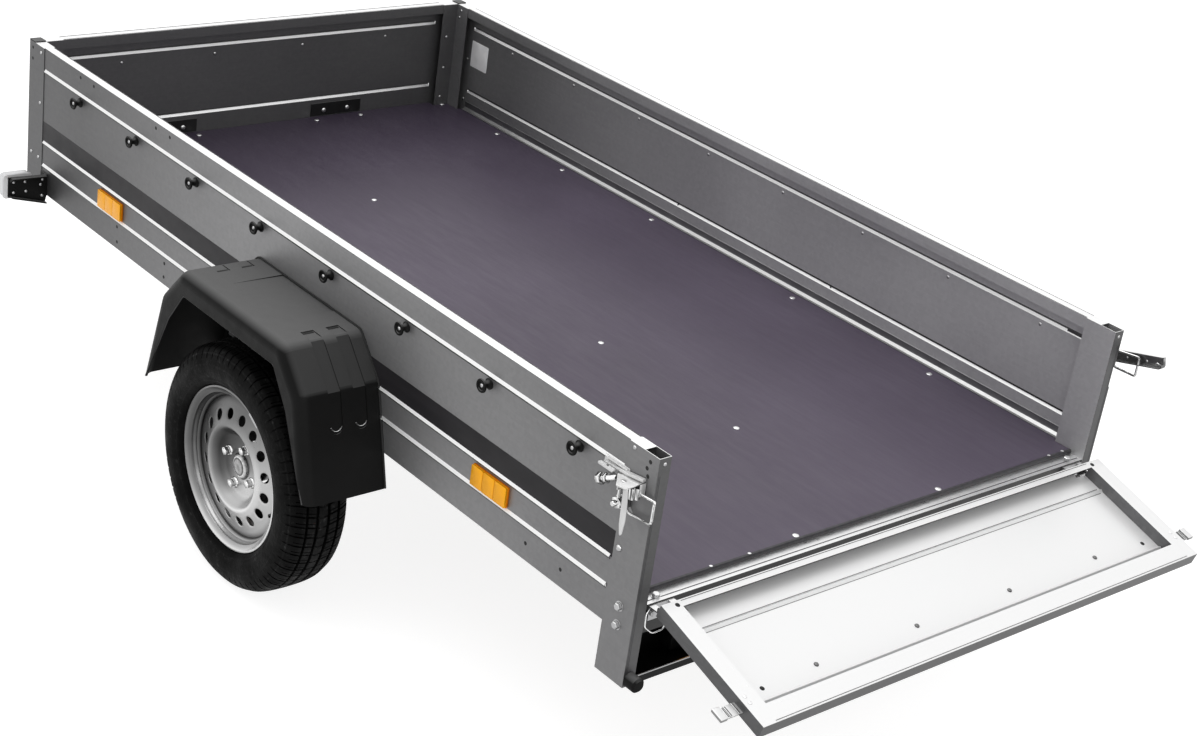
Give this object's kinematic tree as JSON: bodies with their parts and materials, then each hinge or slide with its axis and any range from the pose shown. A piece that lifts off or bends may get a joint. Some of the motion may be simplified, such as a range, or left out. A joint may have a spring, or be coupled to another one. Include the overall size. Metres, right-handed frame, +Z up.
{
  "type": "single-axle utility trailer with drop tailgate",
  "caption": "Open box-bed road trailer on one axle, with a folding tailgate, a ball coupling on a V drawbar and a prop stand.",
  "frame": {"origin": "on the ground, below the middle of the trailer's length and width", "axes": "+X towards the coupling, +Y to the left side, +Z up"},
  "size_m": [3.5772, 1.706, 0.805],
  "materials": {
    "galvanised_sheet": "rolled galvanised sheet, satin grey",
    "bright_sheet": "new galvanised sheet, bright",
    "bright_zinc": "zinc-plated steel",
    "faced_plywood": "phenolic film faced plywood, dark purple grey",
    "black_paint": "black powder coat",
    "black_plastic": "moulded black polypropylene",
    "black_rubber": "matt",
    "tyre": "road tyre",
    "silver_paint": "silver wheel paint",
    "amber_lens": "amber reflector",
    "clear_lens": "white lamp lens",
    "red_lens": "red lamp lens in a black case"
  },
  "bodies": {
    "chassis": {"side_panel_left": "galvanised_sheet", "side_panel_right": "galvanised_sheet", "front_board": "galvanised_sheet", "front_post_left": "galvanised_sheet", "front_post_right": "galvanised_sheet", "rear_post_left": "galvanised_sheet", "rear_post_right": "galvanised_sheet", "front_post_caps": "black_plastic", "floor_board": "faced_plywood", "edge_strips": "bright_zinc", "cross_members": "galvanised_sheet", "rear_sill": "bright_zinc", "hinge_brackets": "bright_zinc", "lamp_bar": "black_paint", "tail_lamps": "red_lens", "rear_buffers": "black_rubber", "backing_plates": "black_paint", "drawbar_arm_left": "galvanised_sheet", "drawbar_arm_right": "galvanised_sheet", "drawbar_head": "galvanised_sheet", "coupling_head": "bright_zinc", "coupling_handle": "black_paint", "stand_clamp": "bright_zinc", "axle_tube": "galvanised_sheet", "swing_arm_left": "galvanised_sheet", "swing_arm_right": "galvanised_sheet", "mudguard_left": "black_plastic", "mudguard_right": "black_plastic", "tarp_knobs": "black_plastic", "side_reflectors": "amber_lens", "front_lamp_brackets": "black_plastic", "front_lamps": "clear_lens", "latch_left": "bright_zinc", "latch_right": "bright_zinc"},
    "tailgate": {"tailgate_pan": "bright_sheet", "tailgate_hinges": "bright_zinc", "tailgate_strikers": "bright_zinc", "tailgate_knobs": "black_plastic"},
    "stand": {"stand_leg": "bright_zinc"},
    "wheel_set_left": {"tyre_left": "tyre", "wheel_left": "silver_paint", "hub_left": "bright_zinc"},
    "wheel_set_right": {"tyre_right": "tyre", "wheel_right": "silver_paint", "hub_right": "bright_zinc"}
  },
  "joints": [
    {"name": "wheel_left_spin", "type": "hinge", "parent": "chassis", "child": "wheel_set_left", "pos_m": [-0.36939, 0.7645, 0.2735], "axis": [0, 1, 0], "continuous": true},
    {"name": "wheel_right_spin", "type": "hinge", "parent": "chassis", "child": "wheel_set_right", "pos_m": [-0.36939, -0.7645, 0.2735], "axis": [0, 1, 0], "continuous": true},
    {"name": "tailgate_hinge", "type": "hinge", "parent": "chassis", "child": "tailgate", "pos_m": [-1.49239, 0, 0.4975], "axis": [0, 1, 0], "range_deg": [0, 106.13]},
    {"name": "stand_slide", "type": "slide", "parent": "chassis", "child": "stand", "axis": [0, 0, 1], "range_m": [0, 0.2]}
  ]
}
